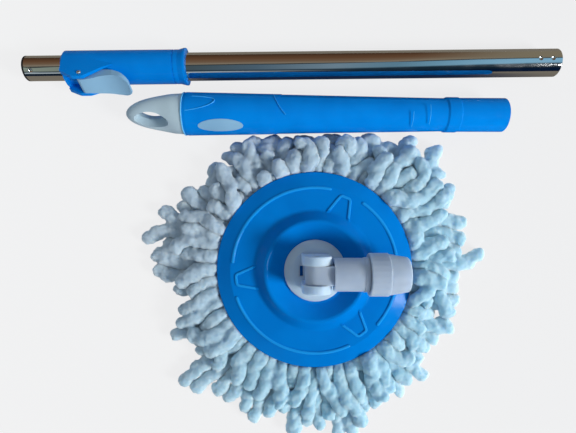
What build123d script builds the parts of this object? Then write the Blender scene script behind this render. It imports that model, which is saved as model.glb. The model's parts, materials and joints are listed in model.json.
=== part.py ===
"""Flat spin mop laid out in its three items: mop head, telescopic pole and hand grip.

Millimetres, +Z up. The origin is on the floor under the head's spin axis. The pole and the
grip lie beside the head, along X.
"""
from build123d import *
from math import acos, atan, atan2, ceil, cos, degrees, hypot, pi, radians, sin, sqrt
import os

# ---- clearances ----
seat_gap = 0.3        # between pieces that rest on or lie beside each other
bearing_gap = 0.1     # radial, shaft in its hole
press_gap = 0.05      # radial, a piece fixed in its hole
cut_over = 1.0        # how far a cutting shape runs past the face it opens

# ---- head disc ----
disc_r = 82.5
disc_wall = 2.4
disc_flat_z = 24.0
rim_slope_r = 70.6
rim_edge_z = 19.4
rim_round = 1.0
dome_foot_r = 50.0
dome_crest_r = 41.0
dome_round = 3.0
funnel_foot_r = 27.5
foot_round = 4.0
bead_arc_r = 68.9
bead_arc_width = 3.6
bead_height = 1.0
bead_arc_start = 12.5
bead_arc_span = 94.5
bead_sink = 0.4
trapezoid_turn = 67.0
trapezoid_count = 3
trapezoid_foot_r = 46.0
trapezoid_tip_r = 65.9
trapezoid_foot_width = 20.5
trapezoid_tip_width = 8.5
trapezoid_line = 2.4
trapezoid_round = 2.6
trapezoid_bevel = 0.5

# ---- swivel hub ----
stem_r = 10.0
boss_r = 13.5
boss_drop = 5.6
hub_plate_r = 25.6
hub_plate_edge = 1.6
hub_plate_rise = 3.9
hub_top_r = 19.0
ear_thick = 6.9
ear_r = 11.5
ear_round = 0.8
tongue_width = 14.4
tongue_r = 9.4
hinge_z = 50.0
hinge_pin_r = 3.0
pin_inset = 0.3
slot_depth = 2.6
slot_width = 8.5
retainer_r = 15.0
retainer_thick = 2.2
screw_count = 3
screw_ring_r = 5.5
screw_r = 1.6
screw_length = 7.0
screw_head_r = 3.0
screw_head_height = 1.8
screw_recess_r = 1.2

# ---- refill: plate, ring and strands ----
refill_plate_r = 62.0
refill_hole_r = 22.0
refill_plate_thick = 2.9
collar_inset = 2.8
collar_wall = 2.6
collar_top_gap = 0.5
lug_count = 3
lug_width = 12.0
lug_reach = 1.4
lug_height = 2.0
ring_r = 60.0
ring_hole_r = 26.0
ring_thick = 3.7
mat_recess_r = 20.0
mat_screw_gap = 3.0
mat_r = 138.0
mat_foot_inset = 5.0
mat_tip_z = 6.0
mat_slope_r = 114.0
mat_slope_z = 21.0
mat_crest_r = 94.0
mat_crest_z = 25.0
mat_shoulder_r = 87.5
mat_shoulder_z = 21.5
mat_low_r = 127.0
mat_low_shift = 20.0
mat_cut_gap = 0.8

# ---- pole connector and its nut ----
neck_start = 12.9
neck_r = 12.95
neck_step_x = 36.0
neck_step_r = 13.5
nut_x = 39.8
nut_r = 16.75
nut_facets = 24
nut_band = 15.2
nut_taper_r = 16.0
nut_end_r = 13.1
nut_end_x = 70.4
nut_bevel = 0.7
nut_mouth_r = 10.9
collet_r = 12.2
collet_end_x = 63.0
socket_r = 10.5
socket_depth = 31.0
slit_count = 4
slit_width = 1.2
slit_length = 14.0

# ---- pole: measured from the sleeve's lower end, up along its own axis ----
pole_x = -210.2
pole_y = 171.1
pole_yaw = 0.87
outer_tube_r = 11.5
outer_tube_wall = 0.6
outer_tube_start = 31.0
outer_tube_length = 386.5
inner_tube_r = 10.3
inner_tube_wall = 0.5
inner_tube_length = 360.0
inner_tube_reach = 31.5
slide_travel = 250.0
mark_width = 0.8
mark_depth = 0.25
sleeve_r = 14.0
sleeve_length = 102.0
sleeve_mouth_bevel = 1.6
flare_r = 15.2
flare_length = 6.0
flare_lip = 1.5
neck_length = 3.5
seam_width = 1.2
seam_depth = 0.4
bush_length = 9.0
bush_inset = 0.5
crimp_r = 2.4
crimp_depth = 0.9
crimp_from_end = (7.8, 18.3)
plug_crimp_from_end = 5.6
plug_crimp_turn = 27.0

# ---- cam lever, cheeks, shoe ----
lever_turn = 60.0
lever_pin_x = 18.5
lever_pin_height = 18.3
lever_pin_r = 1.6
barrel_r = 4.0
cam_reach = 5.1
lever_swing = 80.0
lever_tip_x = 57.0
lever_side_gap = 0.4
lever_wide_x = 44.0
lever_top = 20.6
lever_tip_top = 24.4
lever_lift_x = 46.0
lever_waist_x = 37.0
lever_nose_x = 57.2
lever_nose_height = 21.9
lever_under_height = 15.5
lever_foot_height = 11.2
lever_crown_r = 26.0
lever_corner_share = 0.8
cheek_start = 2.0
cheek_peak_start = 12.5
cheek_peak_end = 21.0
cheek_peak = 21.6
cheek_foot_height = 15.8
cheek_end = 45.0
cheek_inner_start = 7.7
cheek_inner_end = 11.4
cheek_thick = 3.2
cheek_round = 6.0
front_lip = 2.4
window_start = 11.5
window_length = 14.0
window_half = 6.6
shoe_gap = 0.05
shoe_travel = 0.9
shoe_angle = 52.0

# ---- twisted rod drive ----
rod_width = 9.0
rod_thick = 2.0
rod_pitch = 110.0
rod_seat = 18.0
anchor_length = 26.0
anchor_inset = 1.0
anchor_slot_gap = 0.1
anchor_pin_r = 1.5
anchor_pin_from_end = 13.0
stop_r = 7.5
stop_thick = 3.0
guide_head_length = 10.0
guide_spigot_length = 6.0
guide_hole_r = 5.6
spring_r = 7.6
spring_wire_r = 0.5
spring_height = 6.0
spring_turns = 3
nut_drive_length = 12.0
slot_gap = 0.3
ring_drive_length = 9.0
ring_drive_hole_r = 6.0
tooth_count = 6
tooth_height = 1.8
tooth_inner_r = 6.4
tooth_gap = 0.15
tooth_tip_share = 0.1
tooth_span_share = 0.5
end_plug_length = 15.0
end_plug_lip = 1.5
end_plug_hole_r = 6.5
lug_block = 3.4
plug_lug_turn = 120.0

# ---- grip: measured from the shell's cap end, along its own axis ----
grip_x = -109.5
grip_y = 131.7
grip_length = 270.6
grip_big_r = 17.65
grip_big_x = 3.0
grip_small_r = 13.85
grip_small_x = 215.7
grip_edge_r = 17.2
bulge_start = 219.2
bulge_length = 12.0
bulge_r = 14.7
bulge_ramp = 1.6
grip_end_r = 14.1
grip_step_x = 79.7
grip_step_tilt = 12.0
grip_step = 0.3
grip_wall = 2.6
grip_shoulder = 4.4
grip_shoulder_hole_r = 9.0
grip_socket_depth = 60.0
grip_socket_gap = 0.15
spigot_r = 14.5
spigot_length = 11.0
spigot_wall = 2.5
spigot_hollow = 9.0
grip_turn = 45.0
cap_r = 17.2
cap_length = 49.6
loop_x = -27.2
loop_length = 26.5
loop_width = 10.8
loop_round = 1.6
loop_flare = 12.0
cap_fullness = 2.0
cap_closing = 0.55
cap_flatten = 0.3
cap_flatten_power = 1.5
cap_stations = 9
inlay_x = 31.6
inlay_length = 37.0
inlay_width = 11.8
inlay_proud = 0.25
inlay_depth = 1.2

# ---- worked out from the values above ----
disc_under_z = disc_flat_z - disc_wall
dome_crest_z = hinge_z - nut_r - seat_gap
boss_end_z = disc_under_z - boss_drop
refill_top_z = disc_under_z - seat_gap
ring_top_z = refill_top_z - refill_plate_thick - seat_gap
mat_top_z = ring_top_z - ring_thick - seat_gap
retainer_top_z = boss_end_z - seat_gap
screw_foot_z = retainer_top_z - retainer_thick - screw_head_height
mat_recess_z = screw_foot_z - mat_screw_gap
collar_inner_r = dome_crest_r - collar_inset
collar_outer_r = collar_inner_r + collar_wall
dome_rise = dome_crest_z - disc_flat_z
funnel_drop = collar_inset * dome_rise / (dome_crest_r - funnel_foot_r)
dome_drop = (collar_outer_r + lug_reach - dome_crest_r) * dome_rise / (dome_foot_r - dome_crest_r)
collar_top_z = dome_crest_z - disc_wall - max(funnel_drop, dome_drop) - collar_top_gap
hub_plate_z = disc_flat_z + seat_gap
hub_top_z = hub_plate_z + hub_plate_rise
ear_inner = tongue_width / 2 + seat_gap
grip_rest_r = grip_big_r + grip_step
grip_axis_pitch = degrees(atan((grip_rest_r - bulge_r) / (bulge_start + bulge_length - grip_big_x)))
grip_axis_z = grip_rest_r * cos(radians(grip_axis_pitch)) + grip_big_x * sin(radians(grip_axis_pitch))
outer_tube_end = outer_tube_start + outer_tube_length
pole_pitch = degrees(atan((flare_r - outer_tube_r) / (outer_tube_end - sleeve_length)))
pole_z = flare_r * cos(radians(pole_pitch)) + sleeve_length * sin(radians(pole_pitch))
outer_bore_r = outer_tube_r - outer_tube_wall
inner_bore_r = inner_tube_r - inner_tube_wall
inner_tube_start = -inner_tube_reach
inner_tube_end = inner_tube_start + inner_tube_length
sleeve_bore_r = outer_tube_r + bearing_gap
lever_clear_r = sleeve_r + seat_gap
lever_half_foot = cheek_inner_start - lever_side_gap
lever_half_wide = cheek_inner_end - 2 * lever_side_gap
cam_lead = radians(90 - lever_swing / 2)
cam_offset = shoe_travel / (2 * cos(cam_lead))
cam_r = cam_reach - cam_offset * cos(cam_lead)
fixed_r = inner_bore_r - press_gap
rod_end = outer_tube_end - anchor_inset - anchor_length + rod_seat
spring_end = inner_tube_end - guide_spigot_length
drive_nut_end = spring_end - spring_height - seat_gap
drive_nut_start = drive_nut_end - nut_drive_length
clutch_end = drive_nut_start - seat_gap
clutch_start = clutch_end - ring_drive_length
stop_start = clutch_start - slide_travel - seat_gap - stop_thick
rod_start = stop_start - stop_thick / 2
rod_length = rod_end - rod_start
inner_mark_x = -mark_width / 2
outer_mark_x = sleeve_length + mark_width / 2

pole_frame = Location((pole_x, pole_y, pole_z), (0, pole_pitch, pole_yaw))
lever_frame = pole_frame * Rot(lever_turn, 0, 0)
grip_frame = Location((grip_x, grip_y, grip_axis_z), (0, grip_axis_pitch, 0))
grip_front_frame = grip_frame * Rot(grip_turn, 0, 0)


def rounded(face, corner, radius):
    """The flat face with the corner nearest to a point rounded."""
    nearest = face.vertices().sort_by_distance(corner)[0]
    return fillet(nearest, radius)


def turned_about_z(outline, rounds=()):
    """A solid of revolution about Z from (radius, height) corners; rounds holds (corner, radius)."""
    face = Plane.XZ * make_face(Polyline(*outline, close=True))
    for (r, z), radius in rounds:
        face = rounded(face, (r, 0, z), radius)
    return revolve(face, axis=Axis.Z)


def turned_about_x(outline):
    """A solid of revolution about X from (x, radius) corners."""
    face = make_face(Polyline(*outline, close=True))
    return revolve(face, axis=Axis.X)


def rod_x(start, length, radius):
    """A round bar along X."""
    return Pos(start + length / 2, 0, 0) * Rot(0, 90, 0) * Cylinder(radius, length)


def tube_x(start, length, outer, inner):
    """A round tube along X."""
    return rod_x(start, length, outer) - rod_x(start - cut_over, length + 2 * cut_over, inner)


def spun(shape, count):
    """Copies of a shape, evenly spaced about Z."""
    return [Rot(0, 0, 360 * number / count) * shape for number in range(count)]


def spun_x(shape, count):
    """Copies of a shape, evenly spaced about X."""
    return [Rot(360 * number / count, 0, 0) * shape for number in range(count)]


# ---- head ----
def bead_section():
    """The low round section of the arc beads, at its radius in the XZ plane."""
    half = bead_arc_width / 2
    foot = disc_flat_z - bead_sink
    crown = ThreePointArc(
        (bead_arc_r - half, foot), (bead_arc_r, disc_flat_z + bead_height), (bead_arc_r + half, foot)
    )
    chord = Line((bead_arc_r + half, foot), (bead_arc_r - half, foot))
    return Plane.XZ * make_face([crown, chord])


def arc_bead():
    """One raised arc with round ends, starting at angle 0."""
    section = bead_section()
    bar = revolve(section, axis=Axis.Z, revolution_arc=bead_arc_span)
    half_plane = Pos(bead_arc_r + disc_r / 2, 0, disc_flat_z) * Box(disc_r, disc_r, disc_r)
    button = revolve(section & half_plane, axis=Axis((bead_arc_r, 0, 0), (0, 0, 1)))
    return bar + button + Rot(0, 0, bead_arc_span) * button


def trapezoid_bead():
    """One raised outline that points outwards along X and runs into the dome."""
    line = FilletPolyline(
        (trapezoid_foot_r, trapezoid_foot_width / 2),
        (trapezoid_tip_r, trapezoid_tip_width / 2),
        (trapezoid_tip_r, -trapezoid_tip_width / 2),
        (trapezoid_foot_r, -trapezoid_foot_width / 2),
        radius=trapezoid_round,
    )
    plan = trace(line, trapezoid_line)
    bar = extrude(plan, bead_height + bead_sink)
    bar = chamfer(bar.edges().group_by(Axis.Z)[-1], trapezoid_bevel)
    return Pos(0, 0, disc_flat_z - bead_sink) * bar


def head_disc():
    """The blue plate: sloped rim, flat band, dome, funnel and the bearing boss of the hub."""
    upper = [
        (stem_r + bearing_gap, disc_flat_z),
        (funnel_foot_r, disc_flat_z),
        (dome_crest_r, dome_crest_z),
        (dome_foot_r, disc_flat_z),
        (rim_slope_r, disc_flat_z),
        (disc_r, rim_edge_z),
    ]
    lower = [(r, z - disc_wall) for r, z in reversed(upper)]
    lower = lower[:-1]
    boss = [
        (boss_r, disc_under_z),
        (boss_r, boss_end_z),
        (stem_r + bearing_gap, boss_end_z),
    ]
    rounds = [
        ((funnel_foot_r, disc_flat_z), foot_round),
        ((funnel_foot_r, disc_under_z), foot_round + disc_wall),
        ((dome_crest_r, dome_crest_z), dome_round),
        ((dome_crest_r, dome_crest_z - disc_wall), dome_round - disc_wall / 2),
        ((dome_foot_r, disc_flat_z), foot_round),
        ((dome_foot_r, disc_under_z), foot_round),
        ((disc_r, rim_edge_z), rim_round),
    ]
    disc = turned_about_z(upper + lower + boss, rounds)
    for number in range(trapezoid_count):
        turn = trapezoid_turn + 360 * number / trapezoid_count
        disc = disc + Rot(0, 0, turn) * trapezoid_bead()
        disc = disc + Rot(0, 0, turn + bead_arc_start) * arc_bead()
    return disc


def refill_plate():
    """The white plate under the disc, with the collar and lugs that click into the dome."""
    bottom = refill_top_z - refill_plate_thick
    plate = turned_about_z([
        (refill_hole_r, bottom),
        (refill_plate_r, bottom),
        (refill_plate_r, refill_top_z),
        (collar_outer_r, refill_top_z),
        (collar_outer_r, collar_top_z),
        (collar_inner_r, collar_top_z),
        (collar_inner_r, refill_top_z),
        (refill_hole_r, refill_top_z),
    ])
    lug_z = collar_top_z - lug_height / 2
    lug = Pos(collar_outer_r, 0, lug_z) * Box(2 * lug_reach, lug_width, lug_height)
    for copy in spun(lug, lug_count):
        plate = plate + copy
    return plate


def strand_clamp_ring():
    """The ring that presses the roots of the strands against the refill plate."""
    ring = Cylinder(ring_r, ring_thick) - Cylinder(ring_hole_r, ring_thick + cut_over)
    return Pos(0, 0, ring_top_z - ring_thick / 2) * ring


def mat_lobe(reach):
    """The strands' outer shape as a solid of revolution that ends at one radius."""
    rim_under_z = rim_edge_z - disc_wall - seat_gap
    short = mat_r - reach
    return turned_about_z([
        (0, 0),
        (reach - mat_foot_inset, 0),
        (reach, mat_tip_z),
        (mat_slope_r - short / 2, mat_slope_z),
        (mat_crest_r, mat_crest_z),
        (mat_shoulder_r, mat_shoulder_z),
        (disc_r + 2 * seat_gap, rim_under_z),
        (refill_plate_r + seat_gap, rim_under_z),
        (refill_plate_r + seat_gap, mat_top_z),
        (mat_recess_r, mat_top_z),
        (mat_recess_r, mat_recess_z),
        (0, mat_recess_z),
    ])


def strand_mat():
    """The strands as one soft solid: longer towards -Y, cut off at the grip, hollowed under the hub."""
    lobe = mat_lobe(mat_r)
    low = Pos(0, -mat_low_shift, 0) * Cylinder(mat_low_r, 2 * mat_slope_z)
    low = low - Cylinder(mat_slope_r, 3 * mat_slope_z)
    skirt = turned_about_z([
        (mat_slope_r - mat_foot_inset, 0),
        (mat_low_r + mat_low_shift, 0),
        (mat_low_r + mat_low_shift, mat_tip_z),
        (mat_slope_r - mat_foot_inset, mat_slope_z - mat_tip_z / 2),
    ])
    mat = lobe + (skirt & low)
    wall_y = grip_y - grip_rest_r - mat_cut_gap
    beyond = Pos(0, wall_y + mat_r / 2, 0) * Box(2 * mat_r, mat_r, 4 * mat_slope_z)
    return mat - beyond


# ---- swivel hub ----
def hub_ear(side):
    """One hinge ear, standing on the hub plate."""
    foot_z = hub_top_z - hub_plate_edge
    upright = Pos(0, 0, (foot_z + hinge_z) / 2) * Box(2 * ear_r, ear_thick, hinge_z - foot_z)
    crown = Pos(0, 0, hinge_z) * Rot(90, 0, 0) * Cylinder(ear_r, ear_thick)
    ear = Pos(0, side * (ear_inner + ear_thick / 2), 0) * (upright + crown)
    outer_face = ear.faces().sort_by(Axis.Y)[-1 if side > 0 else 0]
    rim = [edge for edge in outer_face.edges() if edge.center().Z > foot_z + hub_plate_edge]
    return fillet(rim, ear_round)


def hub_plate():
    """The white swivel: round plate, stem through the disc and the two hinge ears."""
    plate = turned_about_z([
        (0, retainer_top_z),
        (stem_r, retainer_top_z),
        (stem_r, hub_plate_z),
        (hub_plate_r, hub_plate_z),
        (hub_plate_r, hub_plate_z + hub_plate_edge),
        (hub_top_r, hub_top_z),
        (0, hub_top_z),
    ])
    plate = plate + hub_ear(1) + hub_ear(-1)
    pin_hole = Pos(0, 0, hinge_z) * Rot(90, 0, 0) * Cylinder(hinge_pin_r + press_gap, 2 * hub_plate_r)
    core_slot = Pos(-stem_r - slot_depth / 2, 0, hub_top_z) * Box(slot_depth, slot_width, 4 * hub_plate_rise)
    plate = plate - pin_hole - core_slot
    hole = Pos(screw_ring_r, 0, retainer_top_z) * Cylinder(screw_r + press_gap, 2 * screw_length)
    for copy in spun(hole, screw_count):
        plate = plate - copy
    return plate


def hub_retainer():
    """The washer that holds the stem down in the disc."""
    washer = Pos(0, 0, retainer_top_z - retainer_thick / 2) * Cylinder(retainer_r, retainer_thick)
    hole = Pos(screw_ring_r, 0, retainer_top_z) * Cylinder(screw_r + press_gap, 4 * retainer_thick)
    for copy in spun(hole, screw_count):
        washer = washer - copy
    return washer


def hub_screws():
    """The three screws that hold the washer, each with a round recess in its head."""
    head_top = retainer_top_z - retainer_thick
    shank_length = retainer_thick + screw_length - seat_gap
    shank = Pos(screw_ring_r, 0, head_top + shank_length / 2) * Cylinder(screw_r, shank_length)
    head = Pos(screw_ring_r, 0, head_top - screw_head_height / 2) * Cylinder(screw_head_r, screw_head_height)
    recess = Pos(screw_ring_r, 0, head_top - screw_head_height) * Cylinder(screw_recess_r, screw_head_height)
    return Compound(spun(shank + head - recess, screw_count))


def hinge_pin():
    """The plain pin through the ears and the tongue."""
    length = 2 * (ear_inner + ear_thick - pin_inset)
    return Pos(0, 0, hinge_z) * Rot(90, 0, 0) * Cylinder(hinge_pin_r, length)


# ---- connector ----
def pole_connector():
    """Tongue, round neck and the split socket that takes the pole."""
    body = turned_about_x([
        (neck_start, 0),
        (neck_start, neck_r),
        (neck_step_x, neck_r),
        (neck_step_x, neck_step_r),
        (nut_x - seat_gap, neck_step_r),
        (nut_x - seat_gap, collet_r),
        (collet_end_x, collet_r),
        (collet_end_x, socket_r),
        (collet_end_x - socket_depth, socket_r),
        (collet_end_x - socket_depth, 0),
    ])
    barrel = Rot(90, 0, 0) * Cylinder(tongue_r, tongue_width)
    web_length = neck_start + cut_over
    web = Pos(web_length / 2, 0, 0) * Box(web_length, tongue_width, 2 * tongue_r)
    body = body + barrel + web
    body = body - Rot(90, 0, 0) * Cylinder(hinge_pin_r + bearing_gap, 2 * tongue_width)
    slit_x = collet_end_x - slit_length / 2 + cut_over
    slit = Pos(slit_x, 0, collet_r) * Box(slit_length, slit_width, collet_r)
    for copy in spun_x(slit, slit_count):
        body = body - copy
    return Pos(0, 0, hinge_z) * body


def clamp_nut():
    """The ribbed nut with its tapered nose, round the split socket."""
    band_end = nut_x + nut_band
    side_r = nut_r * cos(pi / nut_facets)
    facets = extrude(Plane.YZ * RegularPolygon(nut_r, nut_facets), nut_band)
    band = Pos(nut_x, 0, 0) * facets
    envelope = turned_about_x([
        (nut_x, 0),
        (nut_x, nut_r - nut_bevel),
        (nut_x + nut_bevel, nut_r),
        (band_end - nut_bevel, nut_r),
        (band_end, side_r - nut_bevel),
        (band_end, 0),
    ])
    nose = turned_about_x([
        (band_end - nut_bevel, 0),
        (band_end - nut_bevel, nut_taper_r - nut_bevel),
        (band_end, nut_taper_r),
        (nut_end_x - nut_bevel, nut_end_r + nut_bevel / 2),
        (nut_end_x, nut_end_r - nut_bevel / 2),
        (nut_end_x, 0),
    ])
    bore_r = collet_r + seat_gap
    bore_end = collet_end_x + seat_gap
    bore = turned_about_x([
        (nut_x - cut_over, 0),
        (nut_x - cut_over, bore_r),
        (bore_end, bore_r),
        (bore_end + bore_r - nut_mouth_r, nut_mouth_r),
        (nut_end_x - nut_bevel, nut_mouth_r),
        (nut_end_x + nut_bevel, nut_mouth_r + 2 * nut_bevel),
        (nut_end_x + nut_bevel, 0),
    ])
    return Pos(0, 0, hinge_z) * ((band & envelope) + nose - bore)


# ---- pole ----
def crimp(x, tube_r, turn, grow=0.0):
    """The ball shape of one crimp dimple, pressed into a tube from outside."""
    centre = tube_r + crimp_r - crimp_depth
    return Rot(turn, 0, 0) * Pos(x, 0, centre) * Sphere(crimp_r + grow)


def crimped_tube(start, length, outer, wall, dimples):
    """A tube whose wall is pushed inwards at each (x, turn) dimple."""
    tube = tube_x(start, length, outer, outer - wall)
    core = rod_x(start, length, outer - wall / 2)
    for x, turn in dimples:
        tube = tube + (crimp(x, outer, turn, wall) & core)
        tube = tube - crimp(x, outer, turn)
    return tube


def rolled_mark(x, tube_r):
    """The shallow groove rolled round a tube where its free end begins."""
    return tube_x(x - mark_width / 2, mark_width, tube_r + cut_over, tube_r - mark_depth)


def outer_tube():
    """The wide chrome tube, crimped twice over its anchor plug, with a groove at the sleeve."""
    dimples = [(outer_tube_end - back, 0) for back in crimp_from_end]
    tube = crimped_tube(outer_tube_start, outer_tube_length, outer_tube_r, outer_tube_wall, dimples)
    return tube - rolled_mark(outer_mark_x, outer_tube_r)


def inner_tube():
    """The narrow chrome tube, crimped once over its end plug, with a groove at the sleeve's mouth."""
    dimples = [(inner_tube_start + plug_crimp_from_end, plug_crimp_turn)]
    tube = crimped_tube(inner_tube_start, inner_tube_length, inner_tube_r, inner_tube_wall, dimples)
    return tube - rolled_mark(inner_mark_x, inner_tube_r)


def cheek():
    """The lever's cheek on the +Y side of the lever's frame: a wall that leans out to the sleeve."""
    side = make_face(Polyline(
        (cheek_start, 0),
        (cheek_start, cheek_foot_height),
        (cheek_peak_start, cheek_peak),
        (cheek_peak_end, cheek_peak),
        (cheek_end, sqrt(sleeve_r**2 - cheek_inner_end**2)),
        (cheek_end, 0),
        close=True,
    ))
    for peak_x in (cheek_peak_start, cheek_peak_end):
        side = rounded(side, (peak_x, cheek_peak, 0), cheek_round)
    wall = extrude(Plane.XZ * side, 2 * sleeve_r, both=True)
    plan = make_face(Polyline(
        (cheek_start, cheek_inner_start),
        (cheek_peak_end, cheek_inner_start),
        (cheek_end, cheek_inner_end),
        (cheek_peak_end, sleeve_r),
        (cheek_start, sleeve_r),
        close=True,
    ))
    top_y = cheek_inner_start + cheek_thick
    tangent_turn = atan2(top_y, cheek_peak) + acos(sleeve_r / hypot(top_y, cheek_peak))
    lean = make_face(Polyline(
        (0, 0),
        (0, cheek_peak),
        (top_y, cheek_peak),
        (sleeve_r * sin(tangent_turn), sleeve_r * cos(tangent_turn)),
        close=True,
    ))
    lean = extrude(Plane.YZ * lean, cheek_end)
    return wall & extrude(plan, cheek_peak) & lean


def cheek_front():
    """The low lip that joins the cheeks at the sleeve's mouth."""
    half = cheek_inner_start + cheek_thick
    lip = Box(front_lip, 2 * half, cheek_foot_height, align=(Align.MIN, Align.CENTER, Align.MIN))
    lip = Pos(cheek_start, 0, 0) * lip
    return lip & rod_x(cheek_start, front_lip, cheek_foot_height + seat_gap)


def lock_sleeve():
    """The blue sleeve: round body with a flared end, cheeks for the lever, window for the shoe."""
    flare_x = sleeve_length - flare_length
    neck_x = flare_x - neck_length
    skin = turned_about_x([
        (0, 0),
        (0, sleeve_r - sleeve_mouth_bevel),
        (sleeve_mouth_bevel, sleeve_r),
        (neck_x - seam_width, sleeve_r),
        (neck_x - seam_width, sleeve_r - seam_depth),
        (neck_x, sleeve_r - seam_depth),
        (neck_x, sleeve_r),
        (flare_x, sleeve_r),
        (sleeve_length - flare_lip, flare_r),
        (sleeve_length, flare_r),
        (sleeve_length, 0),
    ])
    right = cheek()
    body = skin + right + mirror(right, Plane.XZ) + cheek_front()
    window_x = window_start + window_length / 2
    window_z = sqrt(sleeve_bore_r**2 - window_half**2) - seat_gap
    window = Box(window_length, 2 * window_half, sleeve_r, align=(Align.CENTER, Align.CENTER, Align.MIN))
    window = Pos(window_x, 0, window_z) * window
    bore = rod_x(-cut_over, sleeve_length + 2 * cut_over, sleeve_bore_r)
    pin_hole = Pos(lever_pin_x, 0, lever_pin_height) * Rot(90, 0, 0)
    pin_hole = pin_hole * Cylinder(lever_pin_r + press_gap, 4 * sleeve_r)
    return body - window - bore - pin_hole


def guide_bush():
    """The plastic ring in the sleeve's mouth."""
    return tube_x(bush_inset, bush_length, sleeve_bore_r - press_gap, inner_tube_r + bearing_gap)


def lever_pin():
    """The lever's pin, across both cheeks."""
    length = 2 * (cheek_inner_start + cheek_thick)
    return Pos(lever_pin_x, 0, lever_pin_height) * Rot(90, 0, 0) * Cylinder(lever_pin_r, length)


def lock_lever():
    """The grey lever, curved over the sleeve, with a cam barrel at its pin."""
    pin_x = lever_pin_x
    barrel_top = lever_pin_height + barrel_r
    top = Spline(
        (pin_x, barrel_top),
        (lever_waist_x, lever_top),
        (lever_tip_x, lever_tip_top),
        tangents=[(1, 0), (1, 0.5)],
    )
    nose = Line((lever_tip_x, lever_tip_top), (lever_nose_x, lever_nose_height))
    under = Spline(
        (lever_nose_x, lever_nose_height),
        (lever_lift_x, lever_under_height),
        (pin_x + barrel_r, lever_foot_height),
        tangents=[(-1, -0.8), (-1, -0.1)],
    )
    foot = Line((pin_x + barrel_r, lever_foot_height), (pin_x, barrel_top))
    side = make_face([top, nose, under, foot])
    blade = extrude(Plane.XZ * side, lever_half_wide + cut_over, both=True)
    plan_end = lever_tip_x + cut_over
    plan = make_face(Polyline(
        (pin_x - barrel_r, -lever_half_foot),
        (cheek_peak_end, -lever_half_foot),
        (lever_wide_x, -lever_half_wide),
        (plan_end, -lever_half_wide),
        (plan_end, lever_half_wide),
        (lever_wide_x, lever_half_wide),
        (cheek_peak_end, lever_half_foot),
        (pin_x - barrel_r, lever_half_foot),
        close=True,
    ))
    for side_sign in (-1, 1):
        corner = (plan_end, side_sign * lever_half_wide, 0)
        plan = rounded(plan, corner, lever_corner_share * lever_half_wide)
    blade = blade & extrude(plan, 2 * lever_tip_top)
    crown = Pos(0, 0, lever_tip_top - lever_crown_r) * rod_x(0, sleeve_length, lever_crown_r)
    blade = blade & crown
    blade = blade - rod_x(-cut_over, sleeve_length, lever_clear_r)
    place = Pos(pin_x, 0, lever_pin_height)
    barrel = place * Rot(90, 0, 0) * Cylinder(barrel_r, 2 * lever_half_foot)
    cam_place = place * Pos(cam_offset * sin(cam_lead), 0, -cam_offset * cos(cam_lead))
    cam = cam_place * Rot(90, 0, 0) * Cylinder(cam_r, 2 * (window_half - seat_gap))
    cam = cam & (place * Pos(0, 0, -cam_reach) * Box(4 * cam_reach, 4 * cam_reach, 2 * cam_reach))
    lever = blade + barrel + cam
    return lever - place * Rot(90, 0, 0) * Cylinder(lever_pin_r + bearing_gap, 4 * lever_half_wide)


def clamp_shoe():
    """The curved block that the cam presses on the narrow tube."""
    inner = inner_tube_r + shoe_gap
    top = lever_pin_height - cam_reach - shoe_gap
    length = window_length - 4 * seat_gap
    start = window_start + 2 * seat_gap
    ring = tube_x(start, length, top + cut_over, inner)
    half = inner * sin(radians(shoe_angle / 2))
    block = Pos(start + length / 2, 0, (inner + top) / 2) * Box(length, 2 * half, top - inner + cut_over)
    ceiling = Pos(start + length / 2, 0, top - sleeve_r / 2) * Box(length, 4 * half, sleeve_r)
    return ring & block & ceiling


# ---- drive inside the pole ----
def twisted_bar(start, length, width, thick):
    """A flat bar along X that turns once in each rod_pitch; its turn at x = 0 is always the same."""
    blade = Rectangle(width, thick).face()
    count = ceil(2 * length / rod_pitch)
    piece = length / count
    turn = 360 * piece / rod_pitch
    bar = Part()
    for number in range(count):
        begin = start + number * piece
        span = Solid.extrude_linear_with_rotation(blade, (0, 0, 0), (0, 0, piece), turn)
        bar = bar + Pos(begin, 0, 0) * Rot(0, 90, 0) * Rot(0, 0, 360 * begin / rod_pitch) * span
    return bar


def anchor_plug():
    """The plug crimped into the wide tube, slotted for the end of the twisted rod."""
    end = outer_tube_end - anchor_inset
    plug = rod_x(end - anchor_length, anchor_length, outer_bore_r - press_gap)
    for back in crimp_from_end:
        plug = plug - crimp(outer_tube_end - back, outer_tube_r, 0, outer_tube_wall + press_gap)
    gap = 2 * anchor_slot_gap
    slot_start = end - anchor_length - cut_over
    slot = twisted_bar(slot_start, rod_seat + cut_over + gap, rod_width + gap, rod_thick + gap)
    pin_x = outer_tube_end - anchor_pin_from_end
    pin_hole = Pos(pin_x, 0, 0) * Cylinder(anchor_pin_r + press_gap, 4 * outer_bore_r)
    return plug - slot - pin_hole


def anchor_pin():
    """The cross pin through the plug and the rod."""
    length = 2 * (outer_bore_r - seat_gap) - crimp_depth
    return Pos(outer_tube_end - anchor_pin_from_end, 0, 0) * Cylinder(anchor_pin_r, length)


def spiral_rod():
    """The twisted flat rod, drilled for its cross pin."""
    rod = twisted_bar(rod_start, rod_length, rod_width, rod_thick)
    hole = Pos(outer_tube_end - anchor_pin_from_end, 0, 0) * Cylinder(anchor_pin_r + press_gap, 4 * rod_width)
    return rod - hole


def rod_stop():
    """The washer on the rod's free end that keeps the drive nut on it."""
    gap = 2 * press_gap
    slot = twisted_bar(stop_start - cut_over, stop_thick + 2 * cut_over, rod_width + gap, rod_thick + gap)
    return rod_x(stop_start, stop_thick, stop_r) - slot


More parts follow.
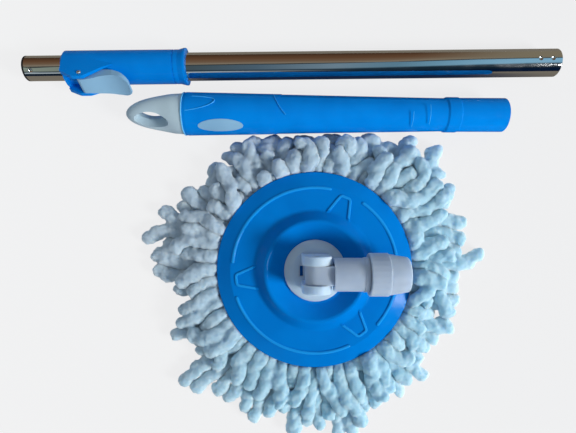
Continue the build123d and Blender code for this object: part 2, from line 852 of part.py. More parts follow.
def guide_head():
    """The bush on the narrow tube's upper end, which slides in the wide tube without turning."""
    start = inner_tube_end + seat_gap
    head = rod_x(start, guide_head_length, outer_bore_r - bearing_gap)
    spigot = rod_x(start - guide_spigot_length, guide_spigot_length + cut_over, inner_bore_r - bearing_gap)
    hole = rod_x(0, outer_tube_end, guide_hole_r)
    return head + spigot - hole


def clutch_spring():
    """The light coil spring between the guide bush and the drive nut."""
    lead = (spring_height - 2 * spring_wire_r) / spring_turns
    path = Helix(lead, lead * spring_turns, spring_r)
    wire = sweep(Plane(path @ 0, z_dir=path % 0) * Circle(spring_wire_r), path=path)
    return Pos(spring_end - spring_height + spring_wire_r, 0, 0) * Rot(0, 90, 0) * wire


def ratchet(grow):
    """Saw teeth that stand up from the clutch ring's upper face."""
    pitch = 2 * pi * inner_bore_r / tooth_count
    outer = fixed_r - seat_gap
    tooth = make_face(Polyline(
        (-grow, -cut_over),
        (-grow, tooth_height + grow),
        (tooth_tip_share * pitch, tooth_height + grow),
        (tooth_span_share * pitch + grow, grow),
        (tooth_span_share * pitch + grow, -cut_over),
        close=True,
    ))
    start_r = tooth_inner_r - grow
    block = extrude(tooth, outer + 2 * grow - start_r)
    block = Rot(0, 90, 0) * Rot(0, 0, 90) * block
    block = Pos(start_r, 0, 0) * block
    teeth = Part() + spun(block, tooth_count)
    return Pos(clutch_end, 0, 0) * Rot(0, 90, 0) * teeth


def drive_nut():
    """The slotted nut that the twisted rod turns, with ratchet recesses in its lower face."""
    nut = rod_x(drive_nut_start, nut_drive_length, fixed_r)
    gap = 2 * slot_gap
    slot_length = nut_drive_length + 2 * cut_over
    slot = twisted_bar(drive_nut_start - cut_over, slot_length, rod_width + gap, rod_thick + gap)
    return nut - slot - ratchet(tooth_gap)


def clutch_ring():
    """The toothed ring fixed in the narrow tube."""
    ring = tube_x(clutch_start, ring_drive_length, fixed_r, ring_drive_hole_r)
    barrel = tube_x(clutch_start, ring_drive_length + tooth_height + cut_over, fixed_r, ring_drive_hole_r)
    return ring + (ratchet(0) & barrel)


def end_plug():
    """The black plug in the narrow tube's lower end, with one key lug on its lip."""
    lip = rod_x(inner_tube_start - end_plug_lip, end_plug_lip, inner_tube_r)
    stopper = rod_x(inner_tube_start - press_gap, end_plug_length, fixed_r)
    hollow = rod_x(inner_tube_start - 2 * end_plug_lip, end_plug_length, end_plug_hole_r)
    lug_r = inner_tube_r - lug_block / 2 - seat_gap
    lug = Pos(inner_tube_start - end_plug_lip, 0, lug_r) * Box(2 * end_plug_lip, lug_block, lug_block)
    lug = Rot(plug_lug_turn, 0, 0) * (lug & rod_x(2 * inner_tube_start, inner_tube_length, inner_tube_r))
    dimple = crimp(inner_tube_start + plug_crimp_from_end, inner_tube_r, plug_crimp_turn,
                   inner_tube_wall + press_gap)
    return lip + stopper + lug - hollow - dimple


# ---- grip ----
def grip_skin(grow=0.0):
    """The grip's outer shape as one solid, with its surface moved out by grow."""
    return turned_about_x([
        (0, 0),
        (0, grip_edge_r + grow),
        (grip_big_x, grip_big_r + grow),
        (grip_small_x, grip_small_r + grow),
        (bulge_start, grip_small_r + grow),
        (bulge_start + bulge_ramp, bulge_r + grow),
        (bulge_start + bulge_length - bulge_ramp / 2, bulge_r + grow),
        (bulge_start + bulge_length, grip_end_r + grow),
        (grip_length, grip_end_r + grow),
        (grip_length, 0),
    ])


def inlay_ellipse(grow):
    """The oval bar that cuts the inlay and its pocket, along the grip's front direction."""
    oval = Ellipse(inlay_length / 2 + grow, inlay_width / 2 + grow)
    return Pos(inlay_x, 0, 0) * extrude(oval, 2 * grip_big_r)


def grip_shell():
    """The blue shell: socket at one end, shoulder, hollow, pocket for the inlay."""
    skin = grip_skin()
    step_side = Pos(-grip_length / 2, 0, 0) * Box(grip_length, 4 * grip_big_r, 4 * grip_big_r)
    step_side = Pos(grip_step_x, 0, 0) * Rot(0, -grip_step_tilt, 0) * step_side
    skin = skin + (grip_skin(grip_step) & step_side)
    socket_end = grip_length - grip_socket_depth
    shoulder_x = socket_end - grip_shoulder
    taper = (grip_big_r - grip_small_r) / (grip_small_x - grip_big_x)
    hollow_end_r = grip_big_r - taper * (shoulder_x - grip_big_x) - grip_wall
    mouth_r = spigot_r + seat_gap
    hollow = turned_about_x([
        (-cut_over, 0),
        (-cut_over, mouth_r),
        (spigot_length + cut_over, mouth_r),
        (shoulder_x, hollow_end_r),
        (shoulder_x, grip_shoulder_hole_r),
        (socket_end, grip_shoulder_hole_r),
        (socket_end, outer_tube_r + grip_socket_gap),
        (grip_length + cut_over, outer_tube_r + grip_socket_gap),
        (grip_length + cut_over, 0),
    ])
    pocket = inlay_ellipse(press_gap) - grip_skin(-inlay_depth)
    return skin - hollow - pocket


def grip_inlay():
    """The grey oval, a thin curved plate let into the shell."""
    return (inlay_ellipse(0) & grip_skin(grip_step + inlay_proud)) - grip_skin(press_gap - inlay_depth)


def loop_eye():
    """The pointed oval of the hanging hole."""
    half = loop_length / 2
    upper = ThreePointArc((-half, 0), (0, loop_width / 2), (half, 0))
    lower = ThreePointArc((half, 0), (0, -loop_width / 2), (-half, 0))
    eye = make_face([upper, lower])
    for end in (-half, half):
        eye = rounded(eye, (end, 0, 0), loop_round)
    return eye


def cap_section(share):
    """The cap's oval at a share of its length, round at the shell and flattened over the hole."""
    across = cap_r * (1 - share**cap_fullness)**cap_closing
    deep = across * (1 - cap_flatten * sin(pi * share)**cap_flatten_power)
    station = Plane(origin=(-share * cap_length, 0, 0), x_dir=(0, 1, 0), z_dir=(-1, 0, 0))
    return station * Ellipse(across, deep)


def hanger_cap():
    """The grey cap with its spigot in the shell and the flared hanging hole."""
    shares = [sin(pi / 2 * number / cap_stations) for number in range(cap_stations)]
    nose = loft([cap_section(share).face() for share in shares] + [Vertex(-cap_length, 0, 0)])
    spigot = rod_x(-cut_over, spigot_length + cut_over, spigot_r)
    hollow = rod_x(spigot_length - spigot_hollow, spigot_length, spigot_r - spigot_wall)
    eye = loop_eye()
    hole = extrude(eye, cap_r, taper=-loop_flare) + extrude(eye, -cap_r, taper=-loop_flare)
    return nose + spigot - hollow - Pos(loop_x, 0, 0) * hole


def build():
    """Every piece at its place, by node name."""
    head = {
        "head_disc": head_disc(),
        "refill_plate": refill_plate(),
        "strand_clamp_ring": strand_clamp_ring(),
        "strand_mat": strand_mat(),
        "hub_plate": hub_plate(),
        "hub_retainer": hub_retainer(),
        "hub_screws": hub_screws(),
        "hinge_pin": hinge_pin(),
        "pole_connector": pole_connector(),
        "clamp_nut": clamp_nut(),
    }
    pole = {
        "outer_tube": outer_tube(),
        "inner_tube": inner_tube(),
        "guide_bush": guide_bush(),
        "anchor_plug": anchor_plug(),
        "anchor_pin": anchor_pin(),
        "spiral_rod": spiral_rod(),
        "rod_stop": rod_stop(),
        "guide_head": guide_head(),
        "clutch_spring": clutch_spring(),
        "drive_nut": drive_nut(),
        "clutch_ring": clutch_ring(),
        "end_plug": end_plug(),
    }
    lever = {
        "lock_sleeve": lock_sleeve(),
        "lever_pin": lever_pin(),
        "lock_lever": lock_lever(),
        "clamp_shoe": clamp_shoe(),
    }
    grip = {
        "grip_shell": grip_shell(),
        "grip_inlay": grip_inlay(),
        "hanger_cap": hanger_cap(),
    }
    placed = dict(head)
    placed.update({name: pole_frame * shape for name, shape in pole.items()})
    placed.update({name: lever_frame * shape for name, shape in lever.items()})
    placed.update({name: grip_front_frame * shape for name, shape in grip.items()})
    return placed


os.makedirs("parts", exist_ok=True)
for node, shape in build().items():
    export_step(shape, f"parts/{node}.step")
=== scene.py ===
# %% [markdown]
# # Flat spin mop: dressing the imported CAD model
# The mop lies in its three items: the blue head with its strands, the telescopic pole, and the
# hand grip. The CAD model gives every hard piece at its real size. This lesson gives each of
# them a finish, and makes the soft strands, which CAD can only hold as one plain block.

# %% Load the frame
import json
from math import cos, pi, radians, sin, tau

import bpy
import numpy as np
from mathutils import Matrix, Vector


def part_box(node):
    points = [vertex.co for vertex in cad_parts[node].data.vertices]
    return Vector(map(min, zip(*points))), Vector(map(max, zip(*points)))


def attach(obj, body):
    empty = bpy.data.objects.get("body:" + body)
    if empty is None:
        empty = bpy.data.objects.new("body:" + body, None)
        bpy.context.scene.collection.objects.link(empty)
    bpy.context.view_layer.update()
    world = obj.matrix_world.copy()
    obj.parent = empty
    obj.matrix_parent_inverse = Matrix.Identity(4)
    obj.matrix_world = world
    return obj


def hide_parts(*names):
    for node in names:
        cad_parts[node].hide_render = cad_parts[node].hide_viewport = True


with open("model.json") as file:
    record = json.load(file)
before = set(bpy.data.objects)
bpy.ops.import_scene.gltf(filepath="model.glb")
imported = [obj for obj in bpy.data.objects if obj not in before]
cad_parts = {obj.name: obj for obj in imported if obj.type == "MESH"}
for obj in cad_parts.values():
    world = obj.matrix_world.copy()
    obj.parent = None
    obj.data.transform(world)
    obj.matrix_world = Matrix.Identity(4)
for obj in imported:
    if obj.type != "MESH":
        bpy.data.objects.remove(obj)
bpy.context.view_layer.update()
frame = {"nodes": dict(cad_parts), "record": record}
nodes = frame["nodes"]
mm = 0.001

# %% [markdown]
# ## The camera
# The mop is seen from straight above, by a wide lens not far over it, so that tall pieces lean
# outwards a little. A camera with no rotation already looks down -Z with +Y upwards, so it only
# needs its place. The place is measured from the head's axis, which is the frame's origin.

# %% Camera
camera_data = bpy.data.cameras.new("overhead")
camera_data.lens = 26.7
camera_data.sensor_width = 36.0
camera = bpy.data.objects.new("overhead", camera_data)
camera.location = (-22.4 * mm, 44.9 * mm, 380 * mm)
bpy.context.scene.collection.objects.link(camera)
bpy.context.scene.camera = camera
bpy.context.scene.view_settings.view_transform = "Standard"
print("camera", round(camera.location.z / mm), "mm above the floor")

# %% [markdown]
# ## Shader maths as Python
# A node tree is hard to read as a list of links. Two small classes let the finishes below be
# written as expressions: Link stands for one output socket and knows arithmetic, and Finish
# makes the nodes of one material.


# %% Link and Finish
class Link:
    """One output socket of a node tree; arithmetic on it adds Math nodes."""

    def __init__(self, finish, socket):
        self.finish = finish
        self.socket = socket

    def __add__(self, other):
        return self.finish.math("ADD", self, other)

    def __sub__(self, other):
        return self.finish.math("SUBTRACT", self, other)

    def __rsub__(self, other):
        return self.finish.math("SUBTRACT", other, self)

    def __mul__(self, other):
        return self.finish.math("MULTIPLY", self, other)

    __radd__ = __add__
    __rmul__ = __mul__


class Finish:
    """A material in the making."""

    def __init__(self, name, tree=None):
        if tree is None:
            self.material = bpy.data.materials.new(name)
            self.material.use_nodes = True
            tree = self.material.node_tree
        self.tree = tree
        self.shader = tree.nodes.get("Principled BSDF")

    def add(self, kind, settings=None, inputs=None, output=0):
        """A node of any type: its settings first, then the values or links of its sockets."""
        node = self.tree.nodes.new(kind)
        for key, value in (settings or {}).items():
            setattr(node, key, value)
        for key, value in (inputs or {}).items():
            self.join(node.inputs[key], value)
        return Link(self, node.outputs[output])

    def join(self, socket, value):
        """A socket takes a link or a plain value."""
        if isinstance(value, Link):
            self.tree.links.new(value.socket, socket)
        else:
            socket.default_value = value

    def math(self, operation, first, second):
        """One Math node."""
        return self.add("ShaderNodeMath", {"operation": operation}, {0: first, 1: second})

    def place(self):
        """Object coordinates, in metres."""
        return self.add("ShaderNodeTexCoord", output="Object")

    def axes(self):
        """Object coordinates as three links: x, y and z."""
        split = self.add("ShaderNodeSeparateXYZ", {}, {0: self.place()})
        return [Link(self, socket) for socket in split.socket.node.outputs]

    def ramp(self, value, *stops):
        """A colour that runs through the stops, each a place from 0 to 1 and a colour."""
        node = self.add("ShaderNodeValToRGB", {}, {"Fac": value}).socket.node
        elements = node.color_ramp.elements
        elements.remove(elements[1])
        elements[0].position, elements[0].color = stops[0]
        for place, tone in stops[1:]:
            elements.new(place).color = tone
        return Link(self, node.outputs["Color"])

    def noise(self, size, detail, stretch=(1, 1, 1)):
        """Noise whose grains are about size metres across, or longer along a stretched axis."""
        scale = tuple(1 / (size * s) for s in stretch)
        grid = self.add("ShaderNodeMapping", {}, {"Vector": self.place(), "Scale": scale})
        sockets = {"Vector": grid, "Scale": 1.0, "Detail": detail}
        return self.add("ShaderNodeTexNoise", {}, sockets)

    def smooth(self, value, low, high, out_low=0.0, out_high=1.0):
        """The value moved from one range to another, easing in and out."""
        ease = {"interpolation_type": "SMOOTHSTEP"}
        ends = {"From Min": low, "From Max": high, "To Min": out_low, "To Max": out_high}
        return self.add("ShaderNodeMapRange", ease, {"Value": value, **ends})

    def mix(self, factor, first, second):
        """One colour blended into another; 6, 7 and 2 are the Mix node's sockets for colours."""
        sockets = {0: factor, 6: first, 7: second}
        return self.add("ShaderNodeMix", {"data_type": "RGBA"}, sockets, 2)

    def bump(self, height, distance, strength):
        """A normal that leans with the height, which runs from 0 to 1 over the distance."""
        sockets = {"Height": height, "Distance": distance, "Strength": strength}
        return self.add("ShaderNodeBump", {}, sockets)

    def glow(self, tone):
        """A shader that only shines with its own tone."""
        return self.add("ShaderNodeEmission", {}, {"Color": tone, "Strength": 1.0})

    def show(self, shader, output="Material Output"):
        """The shader that the surface, or the world, shows."""
        self.join(self.tree.nodes[output].inputs["Surface"], shader)

    def set(self, **sockets):
        """Sockets of the Principled shader, named with _ for each space."""
        for key, value in sockets.items():
            self.join(self.shader.inputs[key.replace("_", " ")], value)
        return self


# %% Colours
def colour(red, green, blue):
    """A shader colour from the 0 to 255 values that a paint program shows."""
    def linear(value):
        share = value / 255
        return share / 12.92 if share <= 0.04045 else ((share + 0.055) / 1.055) ** 2.4
    return (linear(red), linear(green), linear(blue), 1.0)


print("middle grey is", round(colour(128, 128, 128)[0], 3), "to a shader")

# %% [markdown]
# ## The studio
# A pale floor and an even sky fill in the shadows, and one large lamp from the right models the
# forms. To the camera the floor mostly glows with its own pale colour, which keeps it clean, and
# a tenth of it is lit, which keeps the mop's soft shadow. It gets a little darker to the right.

# %% Floor and world
pale = colour(238, 238, 239)
floor_left = colour(255, 255, 255)
floor_right = colour(228, 228, 229)
floor_size = 6.0
floor_fade_x = 1.68
glow_share = 0.9
fill_tone = colour(226, 238, 250)
fill_strength = 0.38


def add_plane(name, size_x, size_y, location):
    """A flat card of the studio; its object coordinates are shares of its size."""
    bpy.ops.mesh.primitive_plane_add(size=1, location=location)
    card = bpy.context.object
    card.name = name
    card.scale = (size_x, size_y, 1)
    return card


def seen_directly(finish):
    """1 for rays that show a thing to the camera, in a mirror or through glass."""
    rays = [finish.add("ShaderNodeLightPath", output=name)
            for name in ("Is Camera Ray", "Is Glossy Ray", "Is Transmission Ray")]
    return finish.add("ShaderNodeClamp", {}, {"Value": rays[0] + rays[1] + rays[2]})


def floor_finish():
    """Pale and matt, with a slow change of tone across X."""
    finish = Finish("studio_floor")
    finish.set(Base_Color=pale, Roughness=0.9, Specular_IOR_Level=0.0)
    across = finish.smooth(finish.axes()[0] * floor_size, -floor_fade_x, floor_fade_x)
    glow = finish.glow(finish.mix(across, floor_left, floor_right))
    lit = Link(finish, finish.shader.outputs[0])
    shares = {0: seen_directly(finish) * glow_share, 1: lit, 2: glow}
    finish.show(finish.add("ShaderNodeMixShader", {}, shares))
    return finish.material


def sky():
    """A pale backdrop where it is seen, and a dimmer, bluer fill for what it lights."""
    world = bpy.data.worlds.new("studio")
    bpy.context.scene.world = world
    world.use_nodes = True
    finish = Finish("studio", world.node_tree)
    backdrop = finish.add("ShaderNodeBackground", {}, {"Color": pale, "Strength": 1.0})
    fill = finish.add("ShaderNodeBackground", {}, {"Color": fill_tone, "Strength": fill_strength})
    shares = {0: seen_directly(finish), 1: fill, 2: backdrop}
    finish.show(finish.add("ShaderNodeMixShader", {}, shares), "World Output")


floor = add_plane("floor", floor_size, floor_size, (0, 0, -0.1 * mm))
floor.data.materials.append(floor_finish())
sky()
print("floor", floor_size, "m wide, sky fill at", fill_strength)

# %% [markdown]
# ## The key lamp
# One large round lamp stands high on the right, a little in front of the mop. Its size makes the
# shadows soft. Its place is a compromise: the side light models the strands and the disc, and
# the lamp's own mirror image stays off the end of the chrome tube.

# %% Key lamp
key_place = Vector((1.28, -0.50, 0.98))
key_target = Vector((0, 0.03, 0))
key_data = bpy.data.lights.new("key", "AREA")
key_data.shape = "DISK"
key_data.size = 0.50
key_data.energy = 25.6
key_data.color = (0.96, 0.99, 1.0)
key_lamp = bpy.data.objects.new("key", key_data)
key_lamp.location = key_place
key_lamp.rotation_euler = (key_target - key_place).to_track_quat("-Z", "Y").to_euler()
bpy.context.scene.collection.objects.link(key_lamp)
print("key lamp", round((key_target - key_place).length, 2), "m from the mop")

# %% [markdown]
# ## The room that the chrome mirrors
# Chrome shows what stands around it: here a brown room behind and above, a window's grey-blue
# light overhead, and a dim end of the room in front. One long half tunnel over the pole holds all
# of it. Its colour depends on the angle up from the horizon behind the pole, and on the place
# along the pole. The edges lean up towards the right and waver, as in a tube that isn't quite
# straight. Only reflections show the room, so it lights nothing.


# %% Things that only reflections show
def unseen_but_mirrored(thing):
    """Only reflections show a thing."""
    thing.visible_camera = False
    thing.visible_diffuse = False
    thing.visible_shadow = False
    thing.visible_transmission = False


def glowing(finish, tone):
    """The finish only shines with its own tone."""
    finish.show(finish.glow(tone))
    return finish.material


# %% Room
tunnel_r = 1.5
tunnel_reach = 5.0
tunnel_steps = 36
pane_low = 0.53
pane_high = 0.80
streak_tone = colour(176, 190, 198)
taupe_tone = colour(126, 118, 100)


def room_finish():
    """Heights run from 0 at the horizon behind the pole, over the top, to 1 in front of it."""
    finish = Finish("room")
    x, y, z = finish.axes()
    up = finish.math("ARCTAN2", z, y) * (1 / pi)
    lean = finish.smooth(x, 0.1, 1.15, 0.0, 0.16)
    wave = finish.noise(0.35, 2, (1, 6, 6)) * 0.05
    height = up + lean + wave - 0.025
    walls = finish.ramp(
        height,
        (0.00, colour(62, 44, 32)),
        (0.25, colour(98, 70, 50)),
        (0.40, colour(112, 92, 74)),
        (0.50, colour(132, 124, 110)),
        (0.515, colour(46, 52, 52)),
        (0.80, colour(26, 46, 60)),
        (0.97, colour(14, 30, 44)),
        (1.00, colour(6, 24, 50)),
    )
    along = finish.smooth(x, -1.3, 1.2)
    window = finish.ramp(
        along,
        (0.02, colour(136, 148, 138)),
        (0.24, colour(64, 76, 78)),
        (0.46, colour(76, 98, 114)),
        (0.66, colour(112, 136, 152)),
        (0.80, colour(90, 130, 152)),
        (0.98, colour(128, 178, 208)),
    )
    pane = finish.smooth(height, pane_low, 0.56) * finish.smooth(height, pane_high, 0.72)
    streak = finish.smooth(height, pane_high, 0.83) * finish.smooth(height, 0.88, 0.85)
    streak = streak * finish.smooth(x, 0.35, -0.45)
    taupe_end = finish.smooth(x, 0.45, 1.0) * finish.smooth(height, pane_low, 0.48)
    walls = finish.mix(taupe_end, walls, taupe_tone)
    lit_walls = finish.mix(pane, walls, window)
    return glowing(finish, finish.mix(streak, lit_walls, streak_tone))


def room_tunnel(y):
    """Half a tunnel along X over the place y, open below."""
    turns = [pi * step / tunnel_steps for step in range(tunnel_steps + 1)]
    points = [(side, tunnel_r * cos(turn), tunnel_r * sin(turn))
              for turn in turns for side in (-tunnel_reach, tunnel_reach)]
    faces = [(2 * k, 2 * k + 1, 2 * k + 3, 2 * k + 2) for k in range(tunnel_steps)]
    mesh = bpy.data.meshes.new("room")
    mesh.from_pydata(points, [], faces)
    mesh.materials.append(room_finish())
    room = bpy.data.objects.new("room", mesh)
    room.location.y = y
    bpy.context.scene.collection.objects.link(room)
    unseen_but_mirrored(room)


room_tunnel(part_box("outer_tube")[0].y)
print("room", 2 * tunnel_reach, "m long,", tunnel_steps, "facets")

# %% [markdown]
# ## The bench below the chrome
# The lower side of a tube mirrors what lies under and beside it: a taupe bench, and the dark
# shade between the pole and the blue grip. A card just above the floor shows both. Like the
# room, only reflections show it.

# %% Bench
bench_x = 4.0
bench_y = 3.0
bench_taupe = colour(122, 116, 105)
grip_shade = colour(22, 38, 66)
shade_left = (-0.14, -0.08)
shade_right = (0.24, 0.12)
shade_far = (0.186, 0.168)


def bench_finish():
    """Taupe towards both ends of the pole, and in the blue grip's dark shade between them."""
    finish = Finish("bench")
    share_x, share_y, _ = finish.axes()
    x, y = share_x * bench_x, share_y * bench_y
    shade = finish.smooth(x, *shade_left) * finish.smooth(x, *shade_right)
    shade = shade * finish.smooth(y, *shade_far)
    return glowing(finish, finish.mix(shade, bench_taupe, grip_shade))


bench = add_plane("bench", bench_x, bench_y, (0, 0, 0.4 * mm))
bench.data.materials.append(bench_finish())
unseen_but_mirrored(bench)
print("bench", bench_x, "by", bench_y, "m")

# %% [markdown]
# ## Plastic finishes
# The sleeve and the grip are moulded in one glossy blue plastic. Moulded plastic is never a
# perfect mirror: it has a faint orange-peel ripple, and tiny scuffs that change how sharply it
# shines. Both come from noise in real units, so that they have the same scale on each piece.

# %% Moulded plastics
peel_height = 0.05 * mm


def moulded(name, tone, deep_tone, shine, gloss=0.15):
    """Glossy moulded plastic with soft tone drift, orange peel and light scuffs."""
    finish = Finish(name)
    drift = finish.smooth(finish.noise(28 * mm, 2), 0.35, 0.7)
    scuffs = finish.noise(6 * mm, 4)
    peel = finish.noise(2.2 * mm, 2)
    return finish.set(
        Base_Color=finish.mix(drift, tone, deep_tone),
        Roughness=finish.smooth(scuffs, 0.45, 0.75, shine, shine + 0.12),
        Normal=finish.bump(peel, peel_height, 0.5),
        Specular_IOR_Level=gloss,
    )


blue_plastic = moulded("blue_plastic", colour(0, 138, 232), colour(0, 131, 224), 0.12, gloss=0.12)
grey_plastic = moulded("grey_plastic", colour(148, 192, 222), colour(138, 182, 214), 0.42)
cap_plastic = moulded("cap_plastic", colour(200, 220, 228), colour(188, 208, 220), 0.42)
white_plastic = moulded("white_plastic", colour(214, 218, 222), colour(200, 206, 212), 0.35)
black_plastic = moulded("black_plastic", colour(22, 22, 24), colour(30, 30, 32), 0.38)
nylon = moulded("nylon", colour(208, 206, 196), colour(196, 195, 188), 0.45)
plastics = (blue_plastic, grey_plastic, cap_plastic, white_plastic, black_plastic, nylon)
print("moulded:", ", ".join(finish.material.name for finish in plastics))

# %% [markdown]
# ## The disc's raised lines
# The disc is a slightly deeper blue than the grip. The arcs and the pointed tongues on it are
# narrow beads, and their rounded tops get a painted highlight: a paler blue mixed into the base
# colour. The finish finds them by their height above the flat ring, and leaves out the dome, which
# is high as well.

# %% Disc plastic
flat_ring_z = 24.0 * mm
bead_low_z = flat_ring_z + 0.3 * mm
bead_high_z = flat_ring_z + 0.8 * mm
dome_edge_r = 51 * mm
bead_highlight_tone = colour(40, 174, 250)
bead_highlight_strength = 0.5


def disc_finish():
    """The moulded finish, with a painted highlight on the bead tops."""
    finish = moulded("disc_plastic", colour(0, 127, 215), colour(0, 121, 208), 0.12, gloss=0.06)
    x, y, z = finish.axes()
    away = finish.math("SQRT", x * x + y * y, 0.0)
    high = finish.smooth(z, bead_low_z, bead_high_z)
    beads = high * finish.smooth(away, dome_edge_r, dome_edge_r + 1 * mm)
    plain = Link(finish, finish.shader.inputs["Base Color"].links[0].from_socket)
    # Painted highlight: the bead tops are mixed towards a paler blue.
    return finish.set(Base_Color=finish.mix(beads * bead_highlight_strength, plain, bead_highlight_tone))


disc_plastic = disc_finish()
print("beads start", round(dome_edge_r / mm), "mm from the axis")

# %% [markdown]
# ## Milky plastic
# The hub, connector and nut are natural polypropylene: light goes in, scatters and comes out
# a little bluer. Subsurface scattering does that, with a radius of a few millimetres that is
# longest for blue.

# %% Milky plastic
blue_spread = (0.8, 0.9, 1.0)
milky_depth = 7 * mm


def milky(name, tone, deep_tone):
    """The moulded finish, with light that travels inside it."""
    finish = moulded(name, tone, deep_tone, 0.30)
    spread = {"Subsurface_Scale": milky_depth, "Subsurface_Radius": blue_spread}
    return finish.set(Subsurface_Weight=1.0, **spread)


milky_plastic = milky("milky_plastic", colour(184, 196, 212), colour(174, 187, 205))
# Painted light: the hub plate's copy is lighter and bluer, filling in the connector's shadow on it
# and standing for blue light from the disc through it.
hub_plastic_painted_light = milky("hub_plastic_painted_light", colour(200, 220, 242), colour(190, 212, 236))
print("light travels", round(milky_depth / mm), "mm in the milky plastic")

# %% [markdown]
# ## Metals
# The tubes are thin steel with bright chrome. Chrome has almost no colour of its own and shows
# what stands around it, so its finish is only a very fine draw mark along the tube, a few hazy
# patches, and the soft waviness of a rolled tube.


# %% Chrome and zinc
def metal(name, tone, low, high, grain, ripple):
    """Bare metal with drawn grain along X and hazy patches."""
    finish = Finish(name)
    drawn = finish.noise(grain, 3, (60, 1, 1))
    haze = finish.noise(18 * mm, 3)
    return finish.set(
        Base_Color=tone,
        Metallic=1.0,
        Roughness=finish.smooth(haze + 0.4 * drawn, 0.5, 1.0, low, high),
        Normal=finish.bump(drawn, ripple, 0.3),
    )


chrome = metal("chrome_tube", colour(236, 235, 234), 0.05, 0.12, 1.2 * mm, 0.008 * mm)
zinc = metal("zinc_steel", colour(176, 178, 182), 0.25, 0.4, 0.6 * mm, 0.02 * mm)
bright_rivet = metal("bright_rivet", colour(232, 238, 242), 0.45, 0.6, 0.6 * mm, 0.02 * mm)
print("metals:", ", ".join(finish.material.name for finish in (chrome, zinc, bright_rivet)))

# %% [markdown]
# ## Dressing the CAD pieces
# The record gives each CAD piece a slot, which names its stuff. A finish with the slot's name
# dresses it. Four pieces differ a little from their slot, so they get a finish of their own: the
# disc's has a painted highlight on its beads, and the hub plate's is painted lighter and bluer.
# The strands' block has none, because the soft strands below take its place.

# %% Dress the CAD pieces
finishes = {
    "blue_plastic": blue_plastic,
    "grey_plastic": grey_plastic,
    "white_plastic": white_plastic,
    "black_plastic": black_plastic,
    "nylon": nylon,
    "milky_plastic": milky_plastic,
    "chrome_tube": chrome,
    "zinc_steel": zinc,
}
own_finishes = {
    "head_disc": disc_plastic,
    "hanger_cap": cap_plastic,
    "hub_plate": hub_plastic_painted_light,
    "lever_pin": bright_rivet,
}
slot_of = {part["node"]: part["material_slot"] for part in frame["record"]["subparts"]}
dressed = []
for name, piece in nodes.items():
    finish = own_finishes.get(name, finishes.get(slot_of[name]))
    if finish is None:
        continue
    piece.data.materials.clear()
    piece.data.materials.append(finish.material)
    dressed.append(name)
print("dressed", len(dressed), "of", len(nodes), "CAD pieces")

# %% [markdown]
# ## The fine raised lines of the grip
# Where the grey cap meets the blue shell, a thin pale ring marks the shell's end; its pale colour
# is a painted highlight on that edge. On the shell's far flank a tongue is outlined by a raised
# line, and three faint arcs run part of the way round it. All are thin round lines of plastic,
# sunk half into the surface, in paler blues that are painted highlights. Each is a curve with a
# round bevel, turned into a mesh, with its points given along the shell and round it.

# %% Raised lines on the grip
shell_low, shell_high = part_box("grip_shell")
shell_axis = Vector((
    shell_low.x,
    (shell_low.y + shell_high.y) / 2,
    (shell_low.z + shell_high.z) / 2,
))
shell_end_r = 17.55 * mm
shell_r = 17.65 * mm
shell_slope = 0.0188
rim_thick = 0.6 * mm
tongue_thick = 0.42 * mm
arc_thick = 0.3 * mm
rim_highlight_plastic = moulded("rim_highlight_plastic", colour(120, 205, 250), colour(110, 196, 244), 0.2)
line_highlight_plastic = moulded("line_highlight_plastic", colour(60, 176, 250), colour(52, 168, 244), 0.2)


def raised_line(name, points, thick, finish, closed=False):
    """A thin round line through the points, riding on the grip."""
    curve = bpy.data.curves.new(name, "CURVE")
    curve.dimensions = "3D"
    curve.bevel_depth = thick
    curve.bevel_resolution = 3
    curve.resolution_u = 10
    line = curve.splines.new("NURBS")
    line.points.add(len(points) - 1)
    for spot, point in zip(line.points, points):
        spot.co = (*point, 1.0)
    line.order_u = 3
    line.use_endpoint_u = not closed
    line.use_cyclic_u = closed
    drawn = bpy.data.objects.new(name, curve)
    bpy.context.scene.collection.objects.link(drawn)
    graph = bpy.context.evaluated_depsgraph_get()
    mesh = bpy.data.meshes.new_from_object(drawn.evaluated_get(graph))
    bpy.data.objects.remove(drawn)
    mesh.materials.clear()
    mesh.materials.append(finish.material)
    mesh.shade_smooth()
    piece = bpy.data.objects.new(name, mesh)
    bpy.context.scene.collection.objects.link(piece)
    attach(piece, "handle")
    print(name, len(mesh.vertices), "points")


def on_shell(along, degrees, radius):
    """A point of the shell: how far along from its cap end, and the angle from the top."""
    turn = radians(degrees)
    return shell_axis + Vector((along, radius * sin(turn), radius * cos(turn)))


# The pale ring is a painted highlight on the shell's end.
rim_points = [on_shell(0.5 * mm, 12 * step, shell_end_r) for step in range(30)]
raised_line("shell_rim", rim_points, rim_thick, rim_highlight_plastic, closed=True)
# The tongue's raised line is coloured a paler blue as a painted highlight.
tongue = ((4, -4), (10, -1), (17, 4), (24, 12), (28, 22), (27, 32), (19, 38), (9, 41))
tongue_points = [on_shell(along * mm, degrees, shell_r) for along, degrees in tongue]
raised_line("shell_tongue", tongue_points, tongue_thick, line_highlight_plastic)


# %% Arcs on the grip
def shell_radius(along):
    """The shell narrows evenly from its wide end to its collar."""
    return shell_r - shell_slope * along


def arc(name, start, low, high, drift=0.0):
    """A faint line round the shell between two angles; it may drift along it to the low one."""
    turns = np.linspace(high, low, 9)
    along = [start + drift * ((high - turn) / (high - low)) ** 2 for turn in turns]
    points = [on_shell(a * mm, turn, shell_radius(a * mm)) for a, turn in zip(along, turns)]
    raised_line(name, points, arc_thick, line_highlight_plastic)


# The three arcs are pale lines, painted reflections where the shell shows faint reflected lines.
arc("shell_arc_wide", start=75.5, low=-15, high=66, drift=10)
arc("shell_arc_middle", start=190, low=-60, high=-5)
arc("shell_arc_narrow", start=204, low=-50, high=20)

# %% [markdown]
# ## The head of the lever's pin
# The pin is riveted over on the sleeve's upper cheek. The small bright head is a low cone with
# a rounded edge, set on the pin's own axis. A primitive with a bevel is all that it needs.

